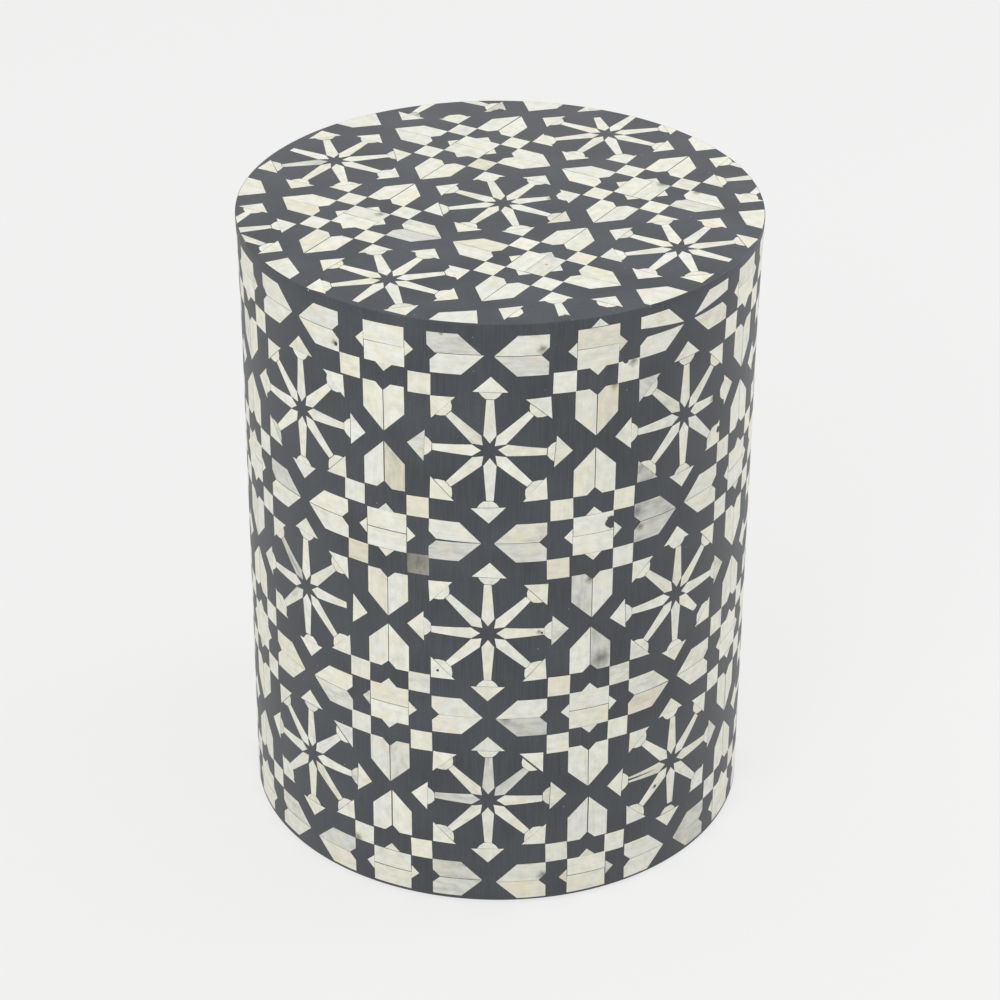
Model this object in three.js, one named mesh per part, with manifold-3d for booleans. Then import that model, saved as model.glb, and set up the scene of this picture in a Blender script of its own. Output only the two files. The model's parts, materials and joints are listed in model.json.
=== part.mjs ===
// A round stool: a bent plywood drum on wooden rings, covered with bone inlay in charcoal resin.
// Millimetres, +Z up. The origin is on the floor, under the middle of the drum. The front is -Y.
import * as THREE from "three";
import { mergeVertices } from "three/addons/utils/BufferGeometryUtils.js";
import Module from "manifold-3d";

const wasm = await Module();
wasm.setup();

// The drum as a whole
const drumDiameter = 356;
const drumHeight = 456;
const rimEase = 0.6; // the rim's outer edge is rubbed down by this much
const rimFlare = 1.6; // the resin stands out by this much at the rim, where the top was built up
const flareDepth = 92; // from the rim down to where the drum becomes straight

// The inlay, from the outside in
const inlayThickness = 2.4; // bone and resin, ground flush
const bedThickness = 0.6; // the adhesive that the tiles lie in
const seamWidth = 0.7; // least resin between two tiles whose corners meet
const grainGap = 0.15; // round each tile, in its window in the resin

// The carcass
const wallThickness = 5; // bent plywood
const topPanelThickness = 18;
const basePanelThickness = 9;
const ringWidth = 36;
const ringThickness = 18;
const battenWidth = 30;
const battenDepth = 18;
const battenCount = 8;

// Fasteners and glides
const baseScrewCount = 8;
const baseScrewLength = 22;
const topScrewCount = 4;
const topScrewLength = 30;
const screwShank = 4;
const screwHead = 8;
const screwHeadDepth = 2.4;
const glideCount = 4;
const glideDiameter = 22;
const glideHeight = 2.5; // what lifts the drum off the floor
const glideEase = 0.8;
const nailLength = 16;
const nailShank = 2.4;
const nailHead = 6;
const nailHeadDepth = 1;
const nailSink = 0.6; // from the floor to the nail's head

// Clearances and cutting
const fitGap = 0.3; // between two pieces that touch
const overrun = 2; // how far a cutter runs past what it cuts
const leastTileArea = 12; // a tile that the border cuts down to less than this is left out

// The pattern
const columnCount = 8; // rosettes round the drum
const sideTurn = THREE.MathUtils.degToRad(-1.9); // of the first column of rosettes, from the front
const starRowCount = 4;
const starRowPitch = 138;
const starRowDrop = 22.9; // from the rim to the middle of the first row of stars
const rimBand = 7.5; // plain resin under the rim
const footBand = 2; // plain resin over the lower edge
const topPitch = 137.7; // between neighbouring rosettes on the top
const topTurn = THREE.MathUtils.degToRad(-31.2);
const topOffset = new THREE.Vector2(1.8, 1.9); // of the middle rosette, from the middle of the top
const topBorder = 3; // plain resin outside the cut tiles
const topNetReach = 2; // rosettes on each side of the middle one that can reach the top's edge

// Facets of the round pieces: a whole number for each column, so that edges fall on the pattern's axes
const facetsPerColumn = 6;
const drumFacets = columnCount * facetsPerColumn;
const screwFacets = 6;
const glideFacets = 12;
const nailFacets = 6;

// Tile outlines as shares of the pitch. An arm of a rosette runs out from the rosette's centre, a leaf
// from its star's centre: the first share is along the arm or leaf, the second is half its width.
const armShares = {
  point: [0.038, 0],
  shoulder: [0.082, 0.032],
  neck: [0.267, 0.02],
  cap: [0.309, 0.058],
  barb: [0.31, 0.085],
  tip: [0.395, 0],
};
const leafShares = {
  notch: [0.252, 0],
  notchEdge: [0.215, 0.0375],
  tail: [0.215, 0.1055],
  shoulder: [0.361, 0.1055],
  tip: [0.469, 0],
};
const starBodyShare = 0.104; // half the side of the star's square
const starPointShare = 0.147; // from the centre to a point
const starPointHalfShare = 0.0433; // half a point's base
const squareNearShare = starBodyShare; // the small squares meet the star's corners
const squareFarShare = 0.214;

// Radii from the outside in, and heights from the floor up
const drumRadius = drumDiameter / 2;
const resinInner = drumRadius - inlayThickness;
const sideBedOuter = resinInner - fitGap;
const sideBedInner = sideBedOuter - bedThickness;
const wallOuter = sideBedInner - fitGap;
const wallInner = wallOuter - wallThickness;
const ringOuter = wallInner - fitGap;
const ringInner = ringOuter - ringWidth;
const ringMiddle = (ringOuter + ringInner) / 2;
const topInlayRadius = resinInner - fitGap;
const patternRadius = topInlayRadius - topBorder;
const sidePitch = (2 * Math.PI * drumRadius) / columnCount;

const drumFloor = glideHeight;
const basePanelTop = drumFloor + basePanelThickness;
const baseRingFloor = basePanelTop + fitGap;
const baseRingTop = baseRingFloor + ringThickness;
const inlayFloor = drumHeight - inlayThickness; // under the resin and the tiles of the top
const topBedFloor = inlayFloor - bedThickness;
const topPanelTop = topBedFloor - fitGap;
const topPanelFloor = topPanelTop - topPanelThickness;
const upperRingTop = topPanelFloor - fitGap;
const upperRingFloor = upperRingTop - ringThickness;
const battenFloor = baseRingTop + fitGap;
const battenTop = upperRingFloor - fitGap;
const middleRingFloor = (battenFloor + battenTop - ringThickness) / 2;

// Finishes
const finish = (color, roughness, metalness = 0) =>
  new THREE.MeshStandardMaterial({ color, roughness, metalness });
const finishes = {
  bone: finish(0xdbdace, 0.45),
  resin: finish(0x505358, 0.4),
  plywood: finish(0xc9a878, 0.75),
  softwood: finish(0xd2b489, 0.8),
  board: finish(0xa98a63, 0.85),
  paintedBase: finish(0x2b2b2d, 0.7),
  steel: finish(0x9a9c9f, 0.35, 1),
  glide: finish(0x2a2a2a, 0.5),
};

// A closed geometry as a solid that can be cut and joined, and back
function solidOf(geometry) {
  const bare = geometry.clone();
  bare.deleteAttribute("normal");
  bare.deleteAttribute("uv");
  const welded = mergeVertices(bare);
  return new wasm.Manifold(
    new wasm.Mesh({
      numProp: 3,
      vertProperties: welded.attributes.position.array,
      triVerts: new Uint32Array(welded.index.array),
    }),
  );
}

function geometryOf(solid) {
  const { vertProperties, triVerts } = solid.getMesh();
  return new THREE.BufferGeometry()
    .setAttribute("position", new THREE.BufferAttribute(vertProperties, 3))
    .setIndex(new THREE.BufferAttribute(triVerts, 1));
}

const joined = (solids) => solids.reduce((whole, next) => whole.add(next));

// A revolved piece. The profile is a list of [radius, height], with the outside going up, and its first
// facet edge faces `turn` from the front.
function revolved(profile, facets, turn = 0) {
  const points = profile.map(([radius, height]) => new THREE.Vector2(radius, height));
  const open = points[0].x !== 0;
  if (open) points.push(points[0].clone());
  return new THREE.LatheGeometry(points, facets, turn).rotateX(Math.PI / 2);
}

// A ring or, with no inner radius, a disc of the drum
function drumRing(outer, inner, floor, top) {
  const profile = inner
    ? [[outer, floor], [outer, top], [inner, top], [inner, floor]]
    : [[0, floor], [outer, floor], [outer, top], [0, top]];
  return revolved(profile, drumFacets, sideTurn);
}

// The point at an angle from the front, counted towards +X, and a distance from the axis
const around = (angle, radius, height = 0) =>
  new THREE.Vector3(radius * Math.sin(angle), -radius * Math.cos(angle), height);
const shareOfTurn = (index, count) => (2 * Math.PI * index) / count;

// Outlines of the tiles, counter-clockwise, in millimetres for a given pitch
const scaled = (points, pitch) => points.map(([x, y]) => new THREE.Vector2(x * pitch, y * pitch));
const mirrored = ([along, across]) => [along, -across];
const middle = new THREE.Vector2();
const turned = (outline, turn, centre = middle) =>
  outline.map((corner) => corner.clone().rotateAround(middle, turn).add(centre));
const turns = (count, make) => Array.from({ length: count }, (_, i) => make(shareOfTurn(i, count)));

function armOutline(pitch) {
  const { point, shoulder, neck, cap, barb, tip } = armShares;
  const right = [shoulder, neck, cap, barb].map(mirrored);
  return scaled([point, ...right, tip, barb, cap, neck, shoulder], pitch);
}

// A leaf's tail has a notch, which faces a point of its star. A plain leaf goes without.
function leafOutline(pitch, plain) {
  const { notch, notchEdge, tail, shoulder, tip } = leafShares;
  const outer = [tail, shoulder];
  const leaf = [...outer.map(mirrored), tip, ...outer.toReversed()];
  return scaled(plain ? leaf : [notch, mirrored(notchEdge), ...leaf, notchEdge], pitch);
}

function starOutline(pitch) {
  const corners = [
    [starPointShare, 0],
    [starBodyShare, starPointHalfShare],
    [starBodyShare, starBodyShare],
    [starPointHalfShare, starBodyShare],
  ];
  return turns(4, (turn) => turned(scaled(corners, pitch), turn)).flat();
}

function squareOutline(pitch) {
  const near = squareNearShare;
  const far = squareFarShare;
  return scaled([[near, near], [far, near], [far, far], [near, far]], pitch);
}

// The tiles round the middle of a rosette, and those round the middle of a star
const rosetteTiles = (pitch) => turns(8, (turn) => turned(armOutline(pitch), turn));
const leaves = (pitch, plain) => turns(4, (turn) => turned(leafOutline(pitch, plain), turn));
const squares = (pitch) => turns(4, (turn) => turned(squareOutline(pitch), turn));

// The same outline with every edge moved in by a margin
function inset(outline, margin) {
  return outline.map((corner, i) => {
    const before = outline.at(i - 1);
    const after = outline[(i + 1) % outline.length];
    const arriving = corner.clone().sub(before).normalize();
    const leaving = after.clone().sub(corner).normalize();
    const inward = new THREE.Vector2(-arriving.y - leaving.y, arriving.x + leaving.x);
    return corner.clone().addScaledVector(inward, margin / (1 + arriving.dot(leaving)));
  });
}

const extruded = (outline, depth) =>
  new THREE.ExtrudeGeometry(new THREE.Shape(outline), { depth, bevelEnabled: false });

// The top: a square net of rosettes, with a star between every four
function topTiles(roundCentre, shift) {
  const reach = Array.from({ length: 2 * topNetReach + 1 }, (_, i) => i - topNetReach + shift);
  const centres = reach.flatMap((column) => reach.map((row) => new THREE.Vector2(column, row)));
  return centres
    .flatMap((centre) => roundCentre.map((tile) => turned(tile, 0, centre.clone().multiplyScalar(topPitch))))
    .map((tile) => turned(tile, topTurn, topOffset));
}

const topArms = () => topTiles(rosetteTiles(topPitch), 0);
const topLargeTiles = () =>
  topTiles([starOutline(topPitch), ...leaves(topPitch, false), ...squares(topPitch)], 1 / 2);

// Tiles of the top as upright prisms, each moved in by a margin and cut by the border
function topPrisms(tiles, margin, floor, top) {
  const border = solidOf(drumRing(patternRadius - margin, 0, floor - overrun, top + overrun));
  const depth = top - floor;
  return tiles
    .map((tile) => extruded(inset(tile, margin), depth).translate(0, 0, floor))
    .map((prism) => solidOf(prism).intersect(border))
    .filter((prism) => prism.volume() > leastTileArea * depth);
}

// The top's resin has a window for every tile. The large tiles stand in theirs on the bed, and the thin
// arms' windows show the bed, which is white as the tiles are.
function topResin() {
  const disc = solidOf(drumRing(topInlayRadius, 0, inlayFloor + fitGap, drumHeight));
  const tiles = [...topArms(), ...topLargeTiles()];
  const windows = topPrisms(tiles, seamWidth / 2, inlayFloor - overrun, drumHeight + overrun);
  return geometryOf(disc.subtract(joined(windows)));
}

function topBone() {
  const bed = solidOf(drumRing(topInlayRadius, 0, topBedFloor, inlayFloor));
  const root = inlayFloor - bedThickness / 2;
  const tiles = topPrisms(topLargeTiles(), seamWidth / 2 + grainGap, root, drumHeight);
  return geometryOf(bed.add(joined(tiles)));
}

// The large tiles of the side, unrolled: x runs round the drum from the first column, y is the height
function sideTiles() {
  const tiles = [];
  for (let column = 0; column < columnCount; column++) {
    for (let row = 0; row < starRowCount; row++) {
      const star = new THREE.Vector2(
        (column + 1 / 2) * sidePitch,
        drumHeight - starRowDrop - row * starRowPitch,
      );
      const roundStar = [starOutline(sidePitch), ...leaves(sidePitch, true)];
      tiles.push(...roundStar.map((tile) => turned(tile, 0, star)));
    }
  }
  return tiles;
}

// A tile of the side as a prism that runs out through the resin, square to the wall at its own middle
function sidePrism(tile, margin) {
  const centre = new THREE.Box2().setFromPoints(tile).getCenter(new THREE.Vector2()).x;
  const outline = inset(tile, margin).map(
    ({ x, y }) => new THREE.Vector2(drumRadius * Math.sin((x - centre) / drumRadius), y),
  );
  const angle = sideTurn + centre / drumRadius;
  const outward = around(angle, 1);
  const onward = around(angle + Math.PI / 2, 1);
  const up = new THREE.Vector3(0, 0, 1);
  const placed = new THREE.Matrix4().makeBasis(onward, up, outward);
  placed.setPosition(outward.multiplyScalar(resinInner - overrun));
  return extruded(outline, inlayThickness + rimFlare + 2 * overrun).applyMatrix4(placed);
}

function sidePrisms(margin) {
  const floor = drumFloor + footBand;
  const height = drumHeight - rimBand - floor;
  const reach = drumDiameter + 2 * overrun;
  const field = new THREE.BoxGeometry(reach, reach, height).translate(0, 0, floor + height / 2);
  const border = solidOf(field);
  return sideTiles()
    .map((tile) => solidOf(sidePrism(tile, margin)).intersect(border))
    .filter((prism) => prism.volume() > leastTileArea * inlayThickness);
}

// The inlay of the side
function sideResin() {
  const rimRadius = drumRadius + rimFlare;
  const skin = revolved(
    [
      [drumRadius, drumFloor],
      [drumRadius, drumHeight - flareDepth],
      [rimRadius, drumHeight - rimEase],
      [rimRadius - rimEase, drumHeight],
      [resinInner, drumHeight],
      [resinInner, drumFloor],
    ],
    drumFacets,
    sideTurn,
  );
  return geometryOf(solidOf(skin).subtract(joined(sidePrisms(seamWidth / 2))));
}

const sideBone = () => drumRing(sideBedOuter, sideBedInner, drumFloor, topBedFloor - fitGap);

// The wall's two half sheets meet at the left and at the right
function wallSheet(side) {
  const wall = solidOf(drumRing(wallOuter, wallInner, drumFloor, topPanelTop));
  const reach = drumDiameter + overrun;
  const half = new THREE.BoxGeometry(reach, reach, reach + drumHeight);
  half.translate(0, side * (reach + fitGap) / 2, drumHeight / 2);
  return geometryOf(wall.intersect(solidOf(half)));
}

// A batten stands with its outer corners a fit's gap inside the flats of the wall
const wallFlat = wallInner * Math.cos(Math.PI / drumFacets);
const battenFace = Math.sqrt((wallFlat - fitGap) ** 2 - (battenWidth / 2) ** 2);

function battenBar(width, inside, outside) {
  const bar = new THREE.BoxGeometry(width, outside - inside, battenTop - battenFloor);
  return bar.translate(0, -(inside + outside) / 2, (battenFloor + battenTop) / 2);
}

const batten = () => battenBar(battenWidth, battenFace - battenDepth, battenFace);
const battenNotch = () =>
  battenBar(battenWidth + 2 * fitGap, battenFace - battenDepth - fitGap, ringOuter + overrun);

// Screws stand between the battens, in the middle of the rings
function screwPlaces(count, height) {
  return turns(count, (turn) => around(turn + Math.PI / battenCount, ringMiddle, height));
}

// A countersunk screw, point up, with the face of its head at height 0. With a gap it is the hole for it.
function screw(length, gap = 0) {
  const shank = screwShank / 2 + gap;
  const head = screwHead / 2 + gap;
  const mouth = gap ? [[0, -overrun], [head, -overrun]] : [[0, 0]];
  const body = [[head, 0], [shank, screwHeadDepth], [shank, length - screwShank / 2], [0, length + gap]];
  return revolved([...mouth, ...body], screwFacets);
}

// Glides stand under the base ring, below battens. Each has a nail, whose head is sunk in its underside.
const glidePlaces = () => turns(glideCount, (turn) => around(turn + Math.PI / glideCount, ringMiddle));

function nail(gap = 0) {
  const shank = nailShank / 2 + gap;
  const head = nailHead / 2 + gap;
  const neck = nailSink + nailHeadDepth + gap;
  const mouth = gap ? -overrun : nailSink;
  return revolved(
    [
      [0, mouth],
      [head, mouth],
      [head, neck],
      [shank, neck],
      [shank, nailLength - nailShank / 2],
      [0, nailLength + gap],
    ],
    nailFacets,
  );
}

function glide() {
  const radius = glideDiameter / 2;
  const disc = revolved(
    [
      [0, 0],
      [radius - glideEase, 0],
      [radius, glideEase],
      [radius, glideHeight - fitGap],
      [0, glideHeight - fitGap],
    ],
    glideFacets,
  );
  return geometryOf(solidOf(disc).subtract(solidOf(nail(fitGap))));
}

// The rings and panels, with the holes and notches for what goes through them
const holesAt = (places, hole) => places.map((place) => solidOf(hole.clone().translate(...place)));
const baseScrewHoles = () => holesAt(screwPlaces(baseScrewCount, drumFloor), screw(baseScrewLength, fitGap));
const topScrewHoles = () => holesAt(screwPlaces(topScrewCount, upperRingFloor), screw(topScrewLength, fitGap));
const nailHoles = () => holesAt(glidePlaces(), nail(fitGap));
const cut = (geometry, holes) => geometryOf(solidOf(geometry).subtract(joined(holes)));

const basePanel = () =>
  cut(drumRing(ringOuter, 0, drumFloor, basePanelTop), [...baseScrewHoles(), ...nailHoles()]);
const baseRing = () =>
  cut(drumRing(ringOuter, ringInner, baseRingFloor, baseRingTop), [...baseScrewHoles(), ...nailHoles()]);
const middleRing = () =>
  cut(
    drumRing(ringOuter, ringInner, middleRingFloor, middleRingFloor + ringThickness),
    turns(battenCount, (turn) => solidOf(battenNotch().rotateZ(turn))),
  );
const upperRing = () => cut(drumRing(ringOuter, ringInner, upperRingFloor, upperRingTop), topScrewHoles());
const topPanel = () => cut(drumRing(ringOuter, 0, topPanelFloor, topPanelTop), topScrewHoles());

// The stool
function piece(name, geometry, material) {
  const mesh = new THREE.Mesh(geometry, material);
  mesh.name = name;
  return mesh;
}

// One piece for each place, numbered from 1
function placedPieces(name, geometry, material, places) {
  return places.map((place, i) => {
    const mesh = piece(`${name}_${i + 1}`, geometry, material);
    mesh.position.copy(place);
    return mesh;
  });
}

const carcass = new THREE.Group();
carcass.add(
  piece("top_panel", topPanel(), finishes.board),
  piece("upper_ring", upperRing(), finishes.plywood),
  piece("middle_ring", middleRing(), finishes.plywood),
  piece("base_ring", baseRing(), finishes.plywood),
  piece("base_panel", basePanel(), finishes.paintedBase),
  piece("wall_sheet_front", wallSheet(-1), finishes.plywood),
  piece("wall_sheet_back", wallSheet(1), finishes.plywood),
);

const battens = new THREE.Group();
turns(battenCount, (turn) => turn).forEach((turn, i) => {
  const mesh = piece(`batten_${i + 1}`, batten(), finishes.softwood);
  mesh.rotation.z = turn;
  battens.add(mesh);
});

const fasteners = new THREE.Group();
fasteners.add(
  ...placedPieces("base_screw", screw(baseScrewLength), finishes.steel, screwPlaces(baseScrewCount, drumFloor)),
  ...placedPieces("top_screw", screw(topScrewLength), finishes.steel, screwPlaces(topScrewCount, upperRingFloor)),
);

const glides = new THREE.Group();
glides.add(
  ...placedPieces("glide", glide(), finishes.glide, glidePlaces()),
  ...placedPieces("glide_nail", nail(), finishes.steel, glidePlaces()),
);

const inlay = new THREE.Group();
inlay.add(
  piece("side_bone", sideBone(), finishes.bone),
  piece("side_resin", sideResin(), finishes.resin),
  piece("top_bone", topBone(), finishes.bone),
  piece("top_resin", topResin(), finishes.resin),
);

const stool = new THREE.Group();
stool.add(carcass, battens, fasteners, glides, inlay);
export default stool;
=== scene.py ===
# %% [markdown]
# # A drum stool in bone inlay
#
# The object is a closed round drum of bent plywood, covered with slips of bone that are glued on edge to
# edge and set in charcoal resin, then ground flush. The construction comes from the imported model: wall,
# rings, panels, screws and glides stay as they are. This lesson makes what the eye sees: a smooth coat of
# resin with an eased rim, and every slip of bone as its own small solid, cut by hand and a little uneven.
# A picture of the pattern on a cylinder would be quicker, but its seams would have no depth and every slip
# would be as true as its neighbour.

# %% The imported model
import json
import math
import random

import bpy
import numpy as np
from mathutils import Matrix, Vector


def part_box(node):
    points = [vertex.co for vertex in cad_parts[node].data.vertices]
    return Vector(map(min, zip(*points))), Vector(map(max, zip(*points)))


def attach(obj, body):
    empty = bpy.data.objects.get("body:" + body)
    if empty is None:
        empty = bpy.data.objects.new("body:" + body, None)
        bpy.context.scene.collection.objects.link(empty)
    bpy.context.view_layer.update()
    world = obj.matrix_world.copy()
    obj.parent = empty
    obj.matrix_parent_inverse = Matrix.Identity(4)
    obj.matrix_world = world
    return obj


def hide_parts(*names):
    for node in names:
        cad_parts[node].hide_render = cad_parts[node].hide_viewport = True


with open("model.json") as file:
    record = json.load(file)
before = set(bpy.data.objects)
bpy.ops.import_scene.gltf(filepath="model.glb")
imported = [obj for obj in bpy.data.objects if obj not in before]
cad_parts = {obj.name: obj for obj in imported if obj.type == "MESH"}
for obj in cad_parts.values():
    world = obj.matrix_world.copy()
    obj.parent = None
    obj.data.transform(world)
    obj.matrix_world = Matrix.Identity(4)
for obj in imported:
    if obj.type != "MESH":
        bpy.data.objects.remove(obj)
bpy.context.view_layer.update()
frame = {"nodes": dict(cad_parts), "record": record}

MM = 0.001

# %% [markdown]
# ## Sizes
#
# The drum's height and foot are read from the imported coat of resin. Its radius is the one on which the
# facets' corners lie, so the smooth coat is a true circle round the same drum. Towards the rim the resin
# was built up and stands out a little. The pattern is counted from the front, towards the right, and down
# from the rim, as it would be chalked on the drum.

# %% Sizes of the drum
DRUM_RADIUS = 178 * MM
DRUM_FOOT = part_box("side_resin")[0].z
DRUM_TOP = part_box("side_resin")[1].z
COAT_THICKNESS = 2.4 * MM
RIM_EASE = 0.6 * MM
RIM_FLARE = 1.6 * MM
FLARE_DEPTH = 92 * MM
FLARE_CURVE = 1.5
RIM_RADIUS = DRUM_RADIUS + RIM_FLARE


def radius_at(drop):
    """The drum's radius at a drop below the rim."""
    share = np.clip(1 - drop / FLARE_DEPTH, 0, 1)
    return DRUM_RADIUS + RIM_FLARE * share ** FLARE_CURVE


print("drum from", round(DRUM_FOOT / MM, 2), "to", round(DRUM_TOP / MM, 2), "mm")

# %% Sizes of the pattern
COLUMNS = 8
COLUMN_PITCH = 2 * math.pi * DRUM_RADIUS / COLUMNS
SIDE_TURN = math.radians(-1.9)
ROSETTE_DROPS = [91.9 * MM, 230.5 * MM, 368.0 * MM]
STAR_DROPS = [21.9 * MM, 160.9 * MM, 298.6 * MM, 437.0 * MM]

# The rows tilt by so much at the rim, and are level at this drop
TILT = 1.8 * MM
LEVEL_DROP = 420 * MM

# By how much the slips stand farther out towards both sides of the drum
SPREAD_OUT = 2.0 * MM

# The top's net: its pitch, how it lies on the drum, and how it is out of square
TOP_PITCH = 137.7 * MM
TOP_TURN = math.radians(-31.2)
TOP_OFFSET = (1.8 * MM, 1.9 * MM)
TOP_STRETCH = (0.988, 1.012)
TOP_LEAN = math.radians(0.8)

# How many rosettes lie on each side of the top's middle one
TOP_REACH = 1
print("columns", round(COLUMN_PITCH / MM, 1), "mm apart, the top's rosettes", round(TOP_PITCH / MM, 1))

# %% [markdown]
# ## Working by hand in a script
#
# An operator acts on all that is selected, so each step starts by selecting one object. Two small helpers
# keep that habit: one picks an object, the other opens edit mode on all of its mesh.

# %% Helpers for selecting
def pick(*objects):
    """Selects only these objects, and makes the first one active."""
    bpy.ops.object.select_all(action="DESELECT")
    for made in objects:
        made.select_set(True)
    bpy.context.view_layer.objects.active = objects[0]


def edit(made):
    """Opens edit mode on one object with all of its mesh selected."""
    pick(made)
    bpy.ops.object.mode_set(mode="EDIT")
    bpy.ops.mesh.select_all(action="SELECT")


def leave_edit():
    bpy.ops.object.mode_set(mode="OBJECT")


print("selected after loading:", len(bpy.context.selected_objects), "pieces")

# %% [markdown]
# ## Camera
#
# The photograph looks down at the drum from about thirty degrees above the horizon, with a long lens. A
# camera can be set by eye, but a drum gives enough to work it out: the rim's ellipse, the foot's ellipse and
# the two straight sides fix where it stood. Its place is in drum radii, its angles are in radians.

# %% Where the camera looks
CAMERA_BACK = 10.9718 * DRUM_RADIUS
CAMERA_UP = DRUM_FOOT + 7.6133 * DRUM_RADIUS
CAMERA_DOWN = 0.5260
CAMERA_ASIDE = 0.0006
CAMERA_ROLL = 0.0063
SENSOR_WIDTH = 36
FARTHEST_SEEN = 50
PICTURE_SIDE = 1000
FOCAL_PIXELS = 3155.0

ahead = Vector((
    math.sin(CAMERA_ASIDE) * math.cos(CAMERA_DOWN),
    math.cos(CAMERA_ASIDE) * math.cos(CAMERA_DOWN),
    -math.sin(CAMERA_DOWN),
))
level = ahead.cross(Vector((0, 0, 1))).normalized()
upright = level.cross(ahead)
right = math.cos(CAMERA_ROLL) * level + math.sin(CAMERA_ROLL) * upright
up = math.cos(CAMERA_ROLL) * upright - math.sin(CAMERA_ROLL) * level
print("the camera looks along", [round(part, 3) for part in ahead])

# %% The camera in its place
bpy.ops.object.camera_add()
camera = bpy.context.object
camera.name = "camera"
camera.matrix_world = (
    Matrix.Translation((0, -CAMERA_BACK, CAMERA_UP))
    @ Matrix((right, up, -ahead)).transposed().to_4x4()
)
camera.data.sensor_width = SENSOR_WIDTH
camera.data.lens = SENSOR_WIDTH * FOCAL_PIXELS / PICTURE_SIDE
camera.data.clip_end = FARTHEST_SEEN
bpy.context.scene.camera = camera
print("lens", round(camera.data.lens, 1), "mm")

# %% [markdown]
# ## Shader building blocks
#
# Materials are built from nodes in code. One helper adds a node and fills its inputs, each with a number
# or with a wire from another node. Effects that several finishes share are node groups with named sockets.

# %% Node helpers
def add_node(tree, kind, inputs=None, **settings):
    """Adds a node. Each input is set to a value, or wired when it is given another node's output."""
    made = tree.nodes.new(kind)
    for name, value in settings.items():
        setattr(made, name, value)
    for name, value in (inputs or {}).items():
        if isinstance(value, bpy.types.NodeSocket):
            tree.links.new(value, made.inputs[name])
        else:
            made.inputs[name].default_value = value
    return made


def math_node(tree, operation, first, second, clamp=False):
    made = add_node(tree, "ShaderNodeMath", {0: first, 1: second}, operation=operation, use_clamp=clamp)
    return made.outputs[0]


def blend(tree, factor, first, second):
    """Mixes two colours. The colour inputs of the Mix node are the seventh and the eighth."""
    made = add_node(tree, "ShaderNodeMix", {0: factor, 6: first, 7: second}, data_type="RGBA")
    return made.outputs[2]


def tint(tree, base, effect, most, tone):
    """Lays a tone over a base. The effect says where, and most says how much of the tone shows there."""
    return blend(tree, math_node(tree, "MULTIPLY", effect, most), base, tone)


def spread(tree, value, low, high, new_low=0.0, new_high=1.0):
    """Stretches the part of a value between low and high over a new range, and stops at its ends."""
    made = add_node(
        tree,
        "ShaderNodeMapRange",
        {"Value": value, "From Min": low, "From Max": high, "To Min": new_low, "To Max": new_high},
    )
    return made.outputs["Result"]


def colour(red, green, blue):
    """A colour as it is picked from a picture, 0 to 255, in the renderer's own linear numbers."""
    def linear(part):
        share = part / 255
        return share / 12.92 if share <= 0.04045 else ((share + 0.055) / 1.055) ** 2.4

    return (linear(red), linear(green), linear(blue), 1.0)


print("mid grey in linear numbers:", round(colour(128, 128, 128)[0], 3))

# %% Helpers for node groups
VALUE = "NodeSocketFloat"
VECTOR = "NodeSocketVector"


def new_group(name, inputs, outputs):
    """A node group with named sockets. Returns the group, its input node and its output node."""
    tree = bpy.data.node_groups.new(name, "ShaderNodeTree")
    for socket, kind in inputs.items():
        tree.interface.new_socket(socket, in_out="INPUT", socket_type=kind)
    for socket, kind in outputs.items():
        tree.interface.new_socket(socket, in_out="OUTPUT", socket_type=kind)
    return tree, tree.nodes.new("NodeGroupInput"), tree.nodes.new("NodeGroupOutput")


def use_group(tree, group, inputs):
    made = tree.nodes.new("ShaderNodeGroup")
    made.node_tree = group
    for name, value in inputs.items():
        if isinstance(value, bpy.types.NodeSocket):
            tree.links.new(value, made.inputs[name])
        else:
            made.inputs[name].default_value = value
    return made.outputs


print("groups so far:", len(bpy.data.node_groups))

# %% [markdown]
# ## Grain, clouds and pores
#
# Bone, resin, plywood and paint all vary in three ways. Grain is long and thin: a noise whose space is
# squeezed across the streak. Clouds are soft patches, a noise at one size. Pores are small points, the
# middles of a scattered cell pattern. Each could be wired anew in every material. As a group it is built
# once and placed with other values, and each takes its sizes in metres.

# %% Grain
grain_group, given, result = new_group(
    "Grain", {"Place": VECTOR, "Streak": VECTOR, "Detail": VALUE}, {"Streaks": VALUE}
)
squeezed = add_node(
    grain_group, "ShaderNodeVectorMath", {0: given.outputs["Place"], 1: given.outputs["Streak"]},
    operation="DIVIDE",
)
streaks = add_node(
    grain_group,
    "ShaderNodeTexNoise",
    {"Vector": squeezed.outputs[0], "Scale": 1.0, "Detail": given.outputs["Detail"], "Roughness": 0.6},
)
grain_group.links.new(spread(grain_group, streaks.outputs["Fac"], 0.3, 0.7), result.inputs["Streaks"])
print("grain:", len(grain_group.nodes), "nodes")

# %% Clouds
cloud_group, given, result = new_group(
    "Clouds", {"Place": VECTOR, "Size": VALUE, "Low": VALUE, "High": VALUE}, {"Clouds": VALUE}
)
scaled_place = add_node(
    cloud_group, "ShaderNodeVectorMath", {0: given.outputs["Place"], 1: given.outputs["Size"]},
    operation="DIVIDE",
)
patches = add_node(
    cloud_group,
    "ShaderNodeTexNoise",
    {"Vector": scaled_place.outputs[0], "Scale": 1.0, "Detail": 3.0, "Roughness": 0.55},
)
cloud_group.links.new(
    spread(cloud_group, patches.outputs["Fac"], given.outputs["Low"], given.outputs["High"]),
    result.inputs["Clouds"],
)
print("clouds:", len(cloud_group.nodes), "nodes")

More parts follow.
